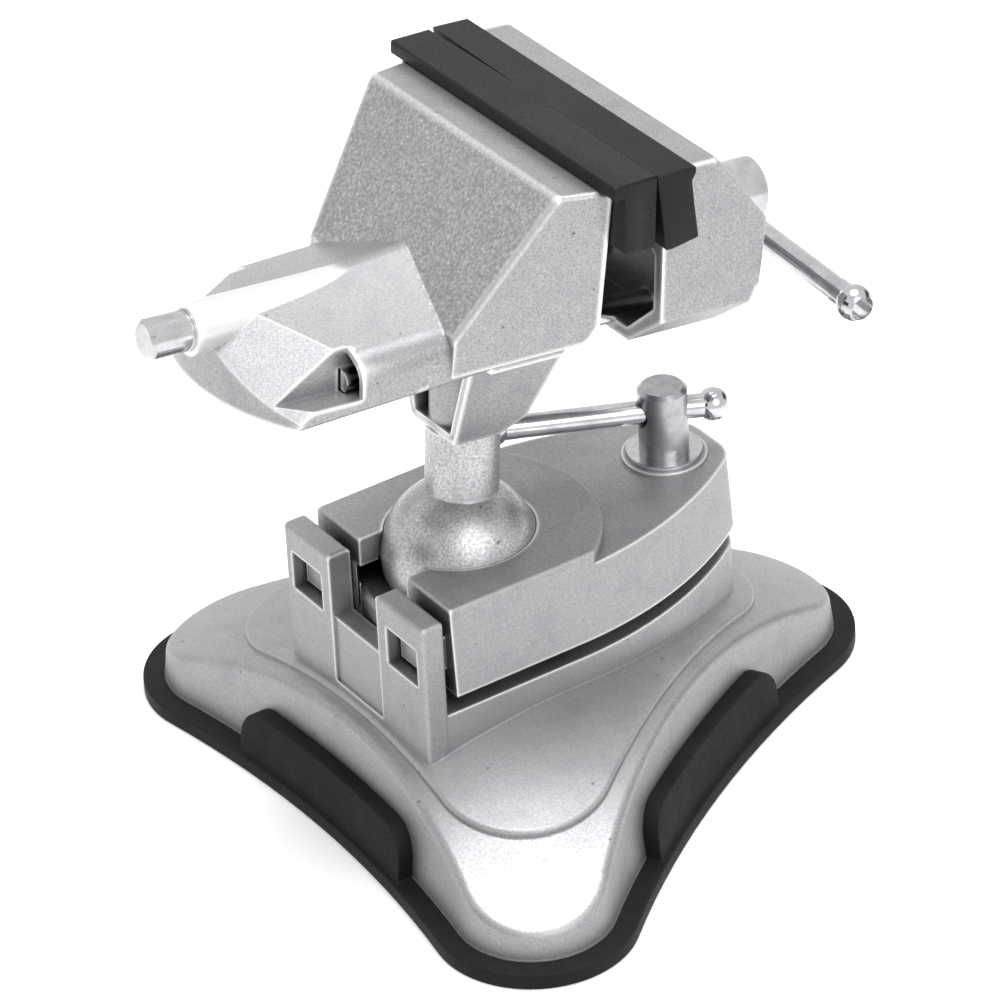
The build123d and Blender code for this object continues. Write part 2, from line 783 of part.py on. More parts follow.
# ---- fixed jaw: jaw block, gabled tail and hollow neck -------------------------------------------
with BuildPart() as jaw_block:
    with BuildSketch(head_side):
        with BuildLine():
            Polyline(
                (jaw_crest, jaw_top),
                (jaw_front, jaw_top),
                (jaw_front, jaw_front_foot_h),
                (jaw_toe, jaw_toe_h),
                (jaw_slope_foot, jaw_heel_h),
                (jaw_slope_foot, jaw_slope_foot_h),
                close=True,
            )
        make_face()
    extrude(amount=jaw_half_width + 2, both=True)
    for side in (-1, 1):
        side_plane = Plane(
            origin=in_head(jaw_front, side * jaw_half_width, jaw_side_h),
            z_dir=along_head(jaw_side_lean, -side, jaw_side_draft),
        )
        split(bisect_by=side_plane, keep=Keep.TOP)
    fillet(head_edges(jaw_block, tail_end, groove_depth), radius=jaw_edge_round)
    with BuildSketch(head_side):
        with BuildLine():
            Polyline(
                (groove_lip, jaw_top),
                (groove_depth, groove_back),
                (jaw_front, groove_bottom),
                (jaw_front + groove_wall, groove_bottom),
                (jaw_front + groove_wall, jaw_top + groove_wall),
                (groove_lip, jaw_top + groove_wall),
                close=True,
            )
        make_face()
    extrude(amount=groove_half_length, both=True, mode=Mode.SUBTRACT)


def tail_section(s):
    """End view of the gabled tail at the place s along the screw."""
    drop = tail_start - s
    ridge = tail_ridge - tail_droop * drop
    eave = tail_eave - tail_eave_droop * drop
    bottom = tail_bottom - tail_bottom_droop * drop
    with BuildSketch(mode=Mode.PRIVATE) as section:
        with BuildLine():
            Polyline(
                (-belly_half_width, bottom),
                (belly_half_width, bottom),
                (belly_half_width, eave),
                (0, ridge),
                (-belly_half_width, eave),
                close=True,
            )
        make_face()
        corners = section.vertices().sort_by(Axis.Y)
        fillet(corners[2:4], radius=tail_eave_round)
        fillet(section.vertices().sort_by(Axis.Y)[-1], radius=tail_ridge_round)
        fillet(section.vertices().group_by(Axis.Y)[0], radius=tail_edge_round)
    return section.sketch


with BuildPart() as tail_block:
    for place in (tail_start, tail_end):
        with BuildSketch(head_end.offset(place)):
            add(tail_section(place))
    loft(ruled=True)
    with BuildSketch(head_frame.offset(belly_bottom - 10)):
        with BuildLine():
            Line((tail_start, -belly_half_width - 1), (tail_corner, -belly_half_width - 1))
            ThreePointArc(
                (tail_corner, -belly_half_width - 1), (tail_end, 0), (tail_corner, belly_half_width + 1)
            )
            Line((tail_corner, belly_half_width + 1), (tail_start, belly_half_width + 1))
            Line((tail_start, belly_half_width + 1), (tail_start, -belly_half_width - 1))
        make_face()
    extrude(amount=40, mode=Mode.INTERSECT)
    for side in (-1, 1):
        hip_plane = Plane(
            origin=in_head(hip_start, side * belly_half_width, hip_h),
            z_dir=along_head(
                -sin(hip_lean) * cos(hip_yaw), side * sin(hip_lean) * sin(hip_yaw), cos(hip_lean)
            ),
        )
        split(bisect_by=hip_plane, keep=Keep.BOTTOM)

neck_lean = tan(radians(neck_flare))
with BuildPart() as neck_block:
    with BuildSketch(head_side):
        with BuildLine():
            Polyline(
                (neck_back, neck_foot),
                (neck_sole, neck_foot),
                (neck_chin, neck_foot + neck_chin_rise),
                (neck_front, neck_front_h),
                (jaw_front, jaw_toe_h),
                (jaw_front - jaw_edge_round, jaw_front_foot_h),
                (neck_back, jaw_front_foot_h),
                close=True,
            )
        make_face()
    extrude(amount=belly_half_width, both=True)
    for side in (-1, 1):
        flare_plane = Plane(
            origin=in_head(0, side * neck_foot_half_width, neck_foot),
            z_dir=along_head(0, -side, neck_lean),
        )
        split(bisect_by=flare_plane, keep=Keep.TOP)

pocket_floor = neck_foot + neck_pocket_floor
pocket_half_foot = neck_foot_half_width - neck_wall
pocket_half_top = pocket_half_foot + neck_lean * (neck_pocket_top - pocket_floor)
with BuildPart() as fixed_jaw:
    add(jaw_block.part)
    add(tail_block.part)
    with BuildSketch(head_end.offset(tail_start)):
        with Locations((0, belly_bottom)):
            belly_height = jaw_front_foot_h - belly_bottom
            Rectangle(2 * belly_half_width, belly_height, align=(Align.CENTER, Align.MIN))
    extrude(amount=jaw_toe - tail_start)
    add(neck_block.part)
    with BuildSketch(head_end.offset(tail_end - screw_boss_reach)):
        with Locations((0, screw_h)):
            Circle(screw_boss_radius)
    extrude(amount=tail_start - tail_end)
    # open underside of the tail, between the rods
    tail_hollow_half = rod_y - rod_radius - tail_wall
    with BuildSketch(head_end.offset(tail_hollow_end)):
        with Locations((0, tail_hollow_top)):
            Rectangle(2 * tail_hollow_half, tail_hollow_top, align=(Align.CENTER, Align.MAX))
    extrude(amount=tail_hollow_start - tail_hollow_end, mode=Mode.SUBTRACT)
    # the nose is set in beside the rods' ends, above a lip, and a niche runs in round each rod
    for side in (-1, 1):
        with BuildSketch(head_end.offset(nose_start)):
            with Locations((side * (nose_half_width + tail_ridge) / 2, nose_lip_top)):
                Rectangle(tail_ridge - nose_half_width, tail_ridge, align=(Align.CENTER, Align.MIN))
        extrude(amount=tail_end - nose_start, mode=Mode.SUBTRACT)
        niche_side = belly_half_width - rod_niche_side
        with BuildSketch(head_end.offset(nose_start)) as niche:
            with BuildLine():
                Polyline(
                    (side * nose_half_width, nose_lip_top),
                    (side * niche_side, nose_lip_top),
                    (side * niche_side, rod_niche_eave),
                    (side * nose_half_width, rod_niche_top),
                    close=True,
                )
            make_face()
            outer = niche.vertices().filter_by_position(Axis.Y, rod_niche_eave - 1, rod_niche_eave + 1)
            fillet(outer, radius=rod_niche_round)
        extrude(amount=rod_niche_depth, mode=Mode.SUBTRACT)
    # pocket in the neck that faces the tail, with the boss of the stud standing in it
    with BuildSketch(head_end.offset(neck_back)):
        with BuildLine():
            Polyline(
                (-pocket_half_foot, pocket_floor),
                (pocket_half_foot, pocket_floor),
                (pocket_half_top, neck_pocket_top),
                (-pocket_half_top, neck_pocket_top),
                close=True,
            )
        make_face()
    extrude(amount=neck_pocket_depth, mode=Mode.SUBTRACT)
    with BuildSketch(head_frame.offset(pocket_floor)):
        Circle(neck_boss_radius)
    extrude(amount=neck_boss_top - pocket_floor)
    # bores
    with BuildSketch(head_frame.offset(neck_foot)):
        Circle(spigot_radius + running_fit)
    extrude(amount=spigot_top + 1 - neck_foot, mode=Mode.SUBTRACT)
    with BuildSketch(head_end.offset(tail_end - 5)):
        with Locations((0, screw_h)):
            Circle(screw_radius + running_fit)
    extrude(amount=jaw_front + 10 - tail_end, mode=Mode.SUBTRACT)
    with BuildSketch(head_end.offset(rod_end - free_gap)):
        with Locations((-rod_y, rod_h), (rod_y, rod_h)):
            Circle(rod_radius + running_fit)
    extrude(amount=jaw_front + 1 - rod_end, mode=Mode.SUBTRACT)
save(fixed_jaw.part, "fixed_jaw")

# ---- moving jaw with its guide rods and their pins -----------------------------------------------
pin_s = (moving_inside + rod_seat) / 2
under_turn = radians(moving_under_tilt)
with BuildPart() as moving_jaw:
    with BuildSketch(head_side):
        with BuildLine():
            Polyline(
                (cap_crest, cap_top - cap_lip),
                (moving_crest_end, cap_top - cap_lip),
                (moving_shoulder, moving_shoulder_h),
                (moving_waist, moving_waist_h),
                (moving_hip, moving_hip_h),
                (moving_heel, moving_heel_h),
                (rod_seat + moving_wall_back, belly_bottom),
                (moving_face, belly_bottom),
                (moving_face, cap_foot - cap_foot_slope),
                (cap_back, cap_foot),
                (cap_waist, cap_waist_h),
                (cap_throat, cap_throat_h),
                close=True,
            )
        make_face()
    extrude(amount=moving_half_width, both=True)
    for side in (-1, 1):
        under_plane = Plane(
            origin=in_head(moving_face, side * moving_half_width, moving_side_bottom),
            z_dir=along_head(0, -side * sin(under_turn), cos(under_turn)),
        )
        split(bisect_by=under_plane, keep=Keep.TOP)
    fillet(head_edges(moving_jaw, moving_inside, spindle_head_end), radius=moving_edge_round)
    # hollow front below the cap, with the boss of the screw standing in it
    inside_half = moving_half_width - moving_wall
    with BuildSketch(head_end.offset(moving_face)) as inside:
        with BuildLine():
            Polyline(
                (-inside_half, moving_inside_top),
                (inside_half, moving_inside_top),
                (inside_half, moving_side_bottom + 2),
                (belly_half_width, moving_floor),
                (-belly_half_width, moving_floor),
                (-inside_half, moving_side_bottom + 2),
                close=True,
            )
        make_face()
        fillet(inside.vertices(), radius=1.5)
    extrude(amount=moving_inside - moving_face, mode=Mode.SUBTRACT)
    with BuildSketch(head_end.offset(moving_inside)):
        with Locations((0, screw_h)):
            Circle(spindle_boss_radius)
    extrude(amount=spindle_boss_end - moving_inside)
    with BuildSketch(head_end.offset(moving_face - 1)):
        with Locations((0, screw_h)):
            Circle(screw_radius + running_fit)
    extrude(amount=40, mode=Mode.SUBTRACT)
    with BuildSketch(head_end.offset(moving_face)):
        with Locations((-rod_y, rod_h), (rod_y, rod_h)):
            Circle(rod_radius)
    extrude(amount=rod_seat - moving_face, mode=Mode.SUBTRACT)
    with BuildSketch(head_frame.offset(belly_bottom)):
        with Locations((pin_s, -rod_y), (pin_s, rod_y)):
            Circle(rod_pin_radius)
    extrude(amount=rod_h + rod_radius + 2 - belly_bottom, mode=Mode.SUBTRACT)
save(moving_jaw.part, "moving_jaw")

with BuildPart() as guide_rods:
    with BuildSketch(head_end.offset(rod_end)):
        with Locations((-rod_y, rod_h), (rod_y, rod_h)):
            Circle(rod_radius)
    extrude(amount=rod_seat - rod_end)
    with BuildSketch(head_frame.offset(belly_bottom)):
        with Locations((pin_s, -rod_y), (pin_s, rod_y)):
            Circle(rod_pin_radius)
    extrude(amount=rod_h + rod_radius + 2 - belly_bottom, mode=Mode.SUBTRACT)
save(guide_rods.part, "guide_rods")

with BuildPart() as rod_pins:
    with BuildSketch(head_frame.offset(belly_bottom + 0.4)):
        with Locations((pin_s, -rod_y), (pin_s, rod_y)):
            Circle(rod_pin_radius)
    extrude(amount=rod_h + rod_radius + 1.5 - belly_bottom)
save(rod_pins.part, "rod_pins")

# ---- rubber caps of the jaws ---------------------------------------------------------------------
with BuildPart() as fixed_jaw_cap:
    with BuildSketch(head_side):
        with BuildLine():
            Polyline(
                (cap_edge, cap_top - cap_edge_drop),
                (cap_meeting - cap_gap / 2, cap_top),
                (cap_meeting - cap_gap / 2, cap_foot),
                (jaw_front + free_gap, cap_foot),
                (jaw_front + free_gap, groove_bottom + free_gap),
                (groove_depth, groove_back),
                (groove_lip, jaw_top),
                (cap_edge, jaw_top),
                close=True,
            )
        make_face()
    extrude(amount=cap_half_length, both=True)
    # the hooked edge stays inside the groove, behind the plain ends
    for side in (-1, 1):
        with BuildSketch(head_side.offset(side * cap_half_length)):
            with BuildLine():
                Polyline(
                    (groove_depth - 1, jaw_top),
                    (jaw_front + free_gap, jaw_top),
                    (jaw_front + free_gap, cap_foot),
                    (groove_depth - 1, cap_foot),
                    close=True,
                )
            make_face()
        extrude(amount=-side * (cap_half_length - groove_half_length + free_gap), mode=Mode.SUBTRACT)
save(fixed_jaw_cap.part, "fixed_jaw_cap")

with BuildPart() as moving_jaw_cap:
    with BuildSketch(head_side):
        with BuildLine():
            Polyline(
                (cap_meeting + cap_gap / 2, cap_top),
                (cap_crest, cap_top),
                (cap_crest, cap_top - cap_lip),
                (cap_throat, cap_throat_h),
                (cap_waist, cap_waist_h),
                (cap_back, cap_foot),
                (moving_face, cap_foot - cap_foot_slope),
                (cap_meeting + cap_lean, cap_foot - cap_foot_slope),
                close=True,
            )
        make_face()
    extrude(amount=cap_half_length, both=True)
save(moving_jaw_cap.part, "moving_jaw_cap")

# ---- lead screw, its clip, the bar and its knobs -------------------------------------------------
spindle_bar_plane = Plane(
    origin=in_head(spindle_cross, 0, screw_h),
    x_dir=head_frame.x_dir,
    z_dir=along_head(0, -cos(spindle_turn), -sin(spindle_turn)),
)
with BuildPart() as lead_screw:
    with BuildSketch(head_end.offset(screw_end)):
        with Locations((0, screw_h)):
            Circle(screw_radius)
    extrude(amount=spindle_head_start - screw_end)
    chamfer(lead_screw.edges().group_by(Axis(head_end.origin, head_end.z_dir))[0], 0.8)
    with BuildSketch(head_end.offset(spindle_head_start)):
        with Locations((0, screw_h)):
            Circle(spindle_head_radius)
    extrude(amount=spindle_head_end - spindle_head_start)
    chamfer(lead_screw.edges().group_by(Axis(head_end.origin, head_end.z_dir))[-1], 0.8)
    with BuildSketch(spindle_bar_plane):
        Circle(bar_radius + running_fit)
    extrude(amount=spindle_head_radius, both=True, mode=Mode.SUBTRACT)
save(lead_screw.part, "lead_screw")

with BuildPart() as spindle_clip:
    with BuildSketch(head_end.offset(moving_inside - free_gap)):
        with Locations((0, screw_h)):
            Circle(spindle_clip_radius)
            Circle(screw_radius, mode=Mode.SUBTRACT)
    extrude(amount=-spindle_clip_thickness)
save(spindle_clip.part, "spindle_clip")

with BuildPart() as spindle_bar:
    with BuildSketch(spindle_bar_plane.offset(-bar_stub)):
        Circle(bar_radius)
    extrude(amount=bar_reach + bar_stub)
save(spindle_bar.part, "spindle_bar")

with BuildPart() as spindle_bar_knobs:
    for reach, outward in ((bar_reach, 1), (-bar_stub, -1)):
        knob_plane = turned_plane(spindle_bar_plane, reach, outward)
        with BuildSketch(knob_plane):
            add(knob_profile(bar_knob_radius, bar_radius))
        revolve(axis=Axis(knob_plane.origin, spindle_bar_plane.z_dir))
save(spindle_bar_knobs.part, "spindle_bar_knobs")
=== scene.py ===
import json
import math

import bmesh
import bpy
from mathutils import Matrix, Vector


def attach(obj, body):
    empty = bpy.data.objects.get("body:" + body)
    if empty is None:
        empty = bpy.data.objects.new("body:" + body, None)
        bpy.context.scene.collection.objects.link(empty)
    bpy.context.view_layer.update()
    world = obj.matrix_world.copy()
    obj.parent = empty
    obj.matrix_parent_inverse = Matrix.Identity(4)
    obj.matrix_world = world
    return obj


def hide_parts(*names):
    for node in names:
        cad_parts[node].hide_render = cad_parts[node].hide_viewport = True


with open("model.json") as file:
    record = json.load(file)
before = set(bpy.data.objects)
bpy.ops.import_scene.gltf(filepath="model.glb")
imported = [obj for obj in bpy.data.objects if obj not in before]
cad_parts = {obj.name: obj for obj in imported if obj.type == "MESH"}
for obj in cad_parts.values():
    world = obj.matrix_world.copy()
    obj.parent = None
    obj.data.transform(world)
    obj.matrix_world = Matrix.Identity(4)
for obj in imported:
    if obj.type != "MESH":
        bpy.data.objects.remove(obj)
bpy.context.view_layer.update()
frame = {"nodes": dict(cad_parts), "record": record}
nodes = frame["nodes"]
mm = 0.001


# camera: the photograph's viewpoint, solved from the base, the clamp plate and the jaws
photoView = {
    "azimuth": -32.652,
    "elevation": 33.132,
    "roll": -3.093,
    "distance": 1.27105,
    "target": (-0.00534, -0.00907, 0.06544),
    "lens": 236.3,
    "sensor": 36.0,
}


def addCamera(view):
    a = math.radians(view["azimuth"])
    e = math.radians(view["elevation"])
    r = math.radians(view["roll"])
    back = Vector((math.sin(a) * math.cos(e), -math.cos(a) * math.cos(e), math.sin(e)))
    right = Vector((math.cos(a), math.sin(a), 0))
    up = back.cross(right)
    rolledRight = right * math.cos(r) + up * math.sin(r)
    rolledUp = up * math.cos(r) - right * math.sin(r)
    data = bpy.data.cameras.new("photoCamera")
    data.lens = view["lens"]
    data.sensor_width = view["sensor"]
    data.clip_end = 20
    camera = bpy.data.objects.new("photoCamera", data)
    turn = Matrix((rolledRight, rolledUp, back)).transposed().to_4x4()
    place = Vector(view["target"]) + back * view["distance"]
    camera.matrix_world = Matrix.Translation(place) @ turn
    bpy.context.scene.collection.objects.link(camera)
    bpy.context.scene.camera = camera


addCamera(photoView)
print("camera placed")


# where the middle of a noise pattern's values lies, for skins whose gloss follows their grain
grainSpread = (0.35, 0.65)


# node helpers
def linear(hexColour):
    channels = []
    for start in (0, 2, 4):
        value = int(hexColour[start : start + 2], 16) / 255
        channels.append(value / 12.92 if value <= 0.04045 else ((value + 0.055) / 1.055) ** 2.4)
    return (*channels, 1.0)


def addNode(tree, kind, values=None, **settings):
    node = tree.nodes.new(kind)
    for name, value in settings.items():
        setattr(node, name, value)
    for name, value in (values or {}).items():
        if isinstance(value, bpy.types.NodeSocket):
            tree.links.new(value, node.inputs[name])
        else:
            node.inputs[name].default_value = value
    return node


def newMaterial(name):
    material = bpy.data.materials.new(name)
    material.use_nodes = True
    material.node_tree.nodes.clear()
    tree = material.node_tree
    shader = addNode(tree, "ShaderNodeBsdfPrincipled")
    addNode(tree, "ShaderNodeOutputMaterial", {"Surface": shader.outputs["BSDF"]})
    place = addNode(tree, "ShaderNodeTexCoord").outputs["Object"]
    return material, tree, shader, place


# the head's own frame, from its joints: along the screw, across the jaws, up through the ball
joints = {joint["name"]: joint for joint in frame["record"]["behaviour"]["joints"]}
alongScrew = Vector(joints["jaw_slide"]["axis"])
upHead = Vector(joints["head_swivel"]["axis"])
acrossJaws = upHead.cross(alongScrew)
ballCentre = Vector(joints["head_swivel"]["pos_m"])


def inHead(point):
    offset = (point - ballCentre) / mm
    return offset.dot(alongScrew), offset.dot(acrossJaws), offset.dot(upHead)


# die-cast aluminium, shot blasted: matte silver, grains that catch the light, a painted highlight
# along the edges and painted shade in the hollows;
# the grain is drawn about twice as coarse as real blasting grit, or it would not show
castBase = {
    "light": "acacae",
    "dark": "98989a",
    "spark": "cfcfcf",
    "stain": "8e8e92",
    "grainMm": 0.4,
    "cloudMm": 7.0,
    "pitSpreadMm": 7.0,
    "pitMm": 0.38,
    "pit": "5c5c5e",
    "pitRim": 0.7,
    "pitShare": 0.75,
    "fineFrom": 0.18,
    "fineTo": 0.82,
    "bodyFrom": 0.38,
    "bodyTo": 0.62,
    "sparkFrom": 0.64,
    "sparkTo": 0.7,
    "stainFrom": 0.5,
    "stainTo": 0.75,
    "stainShare": 0.45,
    "roughLow": 0.4,
    "roughHigh": 0.52,
    "roundMm": 0.5,
    "edgeMm": 0.9,
    # painted highlight: the colour drawn along the edges
    "edgeColour": "f6f6f6",
    "edgeFrom": 0.8,
    "edgeTo": 0.58,
    "slopeEdgeFrom": 0.97,
    "slopeEdgeTo": 0.86,
    # painted shade: the colour drawn in corners, hollows and gaps, by how closed in they are
    "shadeReachMm": 7.0,
    "paintedShadeColour": "38383a",
    "shadeStartOpenness": 0.55,
    "shadeFullOpenness": 0.12,
    "reliefMm": 0.025,
    "metallic": 0.75,
    "coarseMm": 0.7,
    "coarseShare": 0.0,
}
# both jaws: the same casting, with more light and shade in its grain and painted shade, near black, in
# its hollows
castJaw = dict(
    castBase,
    dark="909092",
    light="b2b2b4",
    roughLow=0.3,
    roughHigh=0.42,
    reliefMm=0.035,
    shadeReachMm=20.0,
    paintedShadeColour="161618",
    shadeStartOpenness=0.4,
    coarseShare=1.0,
    edgeMm=1.4,
    edgeFrom=0.82,
    edgeTo=0.62,
)
# the back slope of the fixed jaw kept the coarse skin of its mould: a plane given by two of its places
slope = {"crest": (-1.0, 89.15), "foot": (-18.9, 61.5), "nearMm": 0.7, "farMm": 1.1}
slopeRun = slope["foot"][0] - slope["crest"][0]
slopeRise = slope["foot"][1] - slope["crest"][1]
slopeNormal = (alongScrew * slopeRise - upHead * slopeRun).normalized()
slopePlace = ballCentre + (alongScrew * slope["crest"][0] + upHead * slope["crest"][1]) * mm
# the ball and its shank: the same silver, tumbled, dark where the head and the cup shade them
castBall = dict(
    castBase,
    grainMm=0.5,
    dark="9c9c9e",
    # painted highlight: the ball's silver is drawn lighter than the castings' to stand in for the
    # lamps' wide highlight
    light="d2d2d4",
    roughLow=0.28,
    roughHigh=0.4,
    reliefMm=0.04,
    shadeReachMm=14.0,
    paintedShadeColour="1c1c1e",
    shadeStartOpenness=0.7,
)


def castAluminium(name, values):
    material, tree, shader, place = newMaterial(name)
    fine = addNode(
        tree,
        "ShaderNodeTexNoise",
        {"Vector": place, "Scale": 1 / (values["grainMm"] * mm), "Detail": 2.0, "Roughness": 0.6},
    ).outputs["Fac"]
    coarse = addNode(
        tree,
        "ShaderNodeTexNoise",
        {"Vector": place, "Scale": 1 / (values["coarseMm"] * mm), "Detail": 2.0, "Roughness": 0.7},
    ).outputs["Fac"]
    cloud = addNode(
        tree,
        "ShaderNodeTexNoise",
        {"Vector": place, "Scale": 1 / (values["cloudMm"] * mm), "Detail": 3.0, "Roughness": 0.5},
    ).outputs["Fac"]
    # where the coarse skin is: near the plane of the slope
    height = addNode(
        tree, "ShaderNodeVectorMath", {0: place, 1: tuple(slopeNormal)}, operation="DOT_PRODUCT"
    ).outputs["Value"]
    level = slopeNormal.dot(slopePlace)
    offPlane = addNode(tree, "ShaderNodeMath", {0: height, 1: level}, operation="SUBTRACT").outputs[0]
    distance = addNode(tree, "ShaderNodeMath", {0: offPlane}, operation="ABSOLUTE").outputs[0]
    skin = addNode(
        tree,
        "ShaderNodeMapRange",
        {
            "Value": distance,
            "From Min": slope["nearMm"] * mm,
            "From Max": slope["farMm"] * mm,
            "To Min": values["coarseShare"],
            "To Max": 0.0,
        },
    ).outputs["Result"]
    # the fine grain is drawn flatter than the coarse one
    flat = addNode(
        tree,
        "ShaderNodeMapRange",
        {"Value": fine, "To Min": values["fineFrom"], "To Max": values["fineTo"]},
    ).outputs["Result"]
    grain = addNode(tree, "ShaderNodeMix", {0: skin, 2: flat, 3: coarse}, data_type="FLOAT").outputs[0]
    # painted highlight: the edges drawn near white; painted shade: corners and hollows drawn darker
    rounded = addNode(
        tree, "ShaderNodeBevel", {"Radius": values["roundMm"] * mm}, samples=4
    ).outputs["Normal"]
    thick = addNode(
        tree, "ShaderNodeAmbientOcclusion", {"Distance": values["edgeMm"] * mm}, inside=True, samples=6
    ).outputs["AO"]
    # the painted edge highlight is widest along the long edges of the slope
    edgeFrom = addNode(
        tree,
        "ShaderNodeMapRange",
        {"Value": skin, "To Min": values["edgeFrom"], "To Max": values["slopeEdgeFrom"]},
    ).outputs["Result"]
    edgeTo = addNode(
        tree,
        "ShaderNodeMapRange",
        {"Value": skin, "To Min": values["edgeTo"], "To Max": values["slopeEdgeTo"]},
    ).outputs["Result"]
    edge = addNode(
        tree, "ShaderNodeMapRange", {"Value": thick, "From Min": edgeFrom, "From Max": edgeTo}
    ).outputs["Result"]
    openness = addNode(
        tree, "ShaderNodeAmbientOcclusion", {"Distance": values["shadeReachMm"] * mm}, samples=6
    ).outputs["AO"]
    paintedShade = addNode(
        tree,
        "ShaderNodeMapRange",
        {"Value": openness, "From Min": values["shadeStartOpenness"], "From Max": values["shadeFullOpenness"]},
    ).outputs["Result"]
    body = addNode(
        tree,
        "ShaderNodeMapRange",
        {"Value": grain, "From Min": values["bodyFrom"], "From Max": values["bodyTo"]},
    ).outputs["Result"]
    spark = addNode(
        tree,
        "ShaderNodeMapRange",
        {"Value": grain, "From Min": values["sparkFrom"], "From Max": values["sparkTo"]},
    ).outputs["Result"]
    stain = addNode(
        tree,
        "ShaderNodeMapRange",
        {
            "Value": cloud,
            "From Min": values["stainFrom"],
            "From Max": values["stainTo"],
            "To Max": values["stainShare"],
        },
    ).outputs["Result"]
    colour = addNode(
        tree,
        "ShaderNodeMix",
        {0: body, 6: linear(values["dark"]), 7: linear(values["light"])},
        data_type="RGBA",
    ).outputs[2]
    stained = addNode(
        tree, "ShaderNodeMix", {0: stain, 6: colour, 7: linear(values["stain"])}, data_type="RGBA"
    ).outputs[2]
    sparkling = addNode(
        tree, "ShaderNodeMix", {0: spark, 6: stained, 7: linear(values["spark"])}, data_type="RGBA"
    ).outputs[2]
    # a few small pits left by the casting
    spots = addNode(
        tree, "ShaderNodeTexVoronoi", {"Vector": place, "Scale": 1 / (values["pitSpreadMm"] * mm)}
    ).outputs["Distance"]
    pitReach = values["pitMm"] / values["pitSpreadMm"]
    pit = addNode(
        tree,
        "ShaderNodeMapRange",
        {
            "Value": spots,
            "From Min": pitReach * values["pitRim"],
            "From Max": pitReach,
            "To Min": values["pitShare"],
            "To Max": 0.0,
        },
    ).outputs["Result"]
    pitted = addNode(
        tree, "ShaderNodeMix", {0: pit, 6: sparkling, 7: linear(values["pit"])}, data_type="RGBA"
    ).outputs[2]
    # painted shade mixed in where the surface is closed in
    shadedColour = addNode(
        tree, "ShaderNodeMix", {0: paintedShade, 6: pitted, 7: linear(values["paintedShadeColour"])}, data_type="RGBA"
    ).outputs[2]
    # painted highlight: the edges drawn near white
    edgeHighlighted = addNode(
        tree, "ShaderNodeMix", {0: edge, 6: shadedColour, 7: linear(values["edgeColour"])}, data_type="RGBA"
    ).outputs[2]
    rough = addNode(
        tree,
        "ShaderNodeMapRange",
        {
            "Value": grain,
            "From Min": grainSpread[0],
            "From Max": grainSpread[1],
            "To Min": values["roughHigh"],
            "To Max": values["roughLow"],
        },
    ).outputs["Result"]
    relief = addNode(
        tree,
        "ShaderNodeBump",
        {"Height": grain, "Distance": values["reliefMm"] * mm, "Strength": 0.6, "Normal": rounded},
    ).outputs["Normal"]
    tree.links.new(edgeHighlighted, shader.inputs["Base Color"])
    tree.links.new(rough, shader.inputs["Roughness"])
    tree.links.new(relief, shader.inputs["Normal"])
    shader.inputs["Metallic"].default_value = values["metallic"]
    return material


# turned steel, chrome plated and polished: sharp reflections, faint rubbing marks and dull spots
chromeSteel = {
    "light": "cfcfd1",
    "dark": "b4b4b7",
    "cloudMm": 5.0,
    "markMm": 0.5,
    "cloudFrom": 0.35,
    "cloudTo": 0.65,
    "speckFrom": 0.5,
    "speckTo": 0.75,
    "speckShare": 0.35,
    "roughLow": 0.08,
    "roughHigh": 0.2,
    "reliefMm": 0.006,
}
# the clamp screw: turned and left satin
satinSteel = dict(
    chromeSteel, light="b2b2b5", dark="99999c", cloudMm=3.0, roughLow=0.26, roughHigh=0.36
)
# plain turned steel of the inner pieces
plainSteel = dict(
    chromeSteel, light="98989b", dark="707074", cloudMm=3.0, roughLow=0.25, roughHigh=0.45
)


def turnedSteel(name, values):
    material, tree, shader, place = newMaterial(name)
    cloud = addNode(
        tree,
        "ShaderNodeTexNoise",
        {"Vector": place, "Scale": 1 / (values["cloudMm"] * mm), "Detail": 4.0, "Roughness": 0.65},
    ).outputs["Fac"]
    mark = addNode(
        tree,
        "ShaderNodeTexNoise",
        {"Vector": place, "Scale": 1 / (values["markMm"] * mm), "Detail": 2.0, "Roughness": 0.6},
    ).outputs["Fac"]
    mottle = addNode(
        tree,
        "ShaderNodeMapRange",
        {"Value": cloud, "From Min": values["cloudFrom"], "From Max": values["cloudTo"]},
    ).outputs["Result"]
    speck = addNode(
        tree,
        "ShaderNodeMapRange",
        {
            "Value": mark,
            "From Min": values["speckFrom"],
            "From Max": values["speckTo"],
            "To Max": values["speckShare"],
        },
    ).outputs["Result"]
    colour = addNode(
        tree,
        "ShaderNodeMix",
        {0: mottle, 6: linear(values["dark"]), 7: linear(values["light"])},
        data_type="RGBA",
    ).outputs[2]
    specked = addNode(
        tree, "ShaderNodeMix", {0: speck, 6: colour, 7: linear(values["light"])}, data_type="RGBA"
    ).outputs[2]
    rough = addNode(
        tree,
        "ShaderNodeMapRange",
        {"Value": mottle, "To Min": values["roughHigh"], "To Max": values["roughLow"]},
    ).outputs["Result"]
    relief = addNode(
        tree, "ShaderNodeBump", {"Height": mark, "Distance": values["reliefMm"] * mm, "Strength": 0.5}
    ).outputs["Normal"]
    tree.links.new(specked, shader.inputs["Base Color"])
    tree.links.new(rough, shader.inputs["Roughness"])
    tree.links.new(relief, shader.inputs["Normal"])
    shader.inputs["Metallic"].default_value = 1.0
    return material


# moulded black rubber: matte, softly clouded with bloom, edges rubbed a little paler
padRubber = {
    "light": "1b1b1b",
    "dark": "131313",
    "edgeColour": "2a2a2a",
    "bloomFrom": 0.35,
    "bloomTo": 0.65,
    "edgeFrom": 0.99,
    "edgeTo": 0.85,
    "edgeShare": 0.7,
    "specular": 0.15,
    "grainMm": 0.45,
    "cloudMm": 10.0,
    "edgeMm": 0.8,
    "roughLow": 0.5,
    "roughHigh": 0.7,
    "reliefMm": 0.04,
}
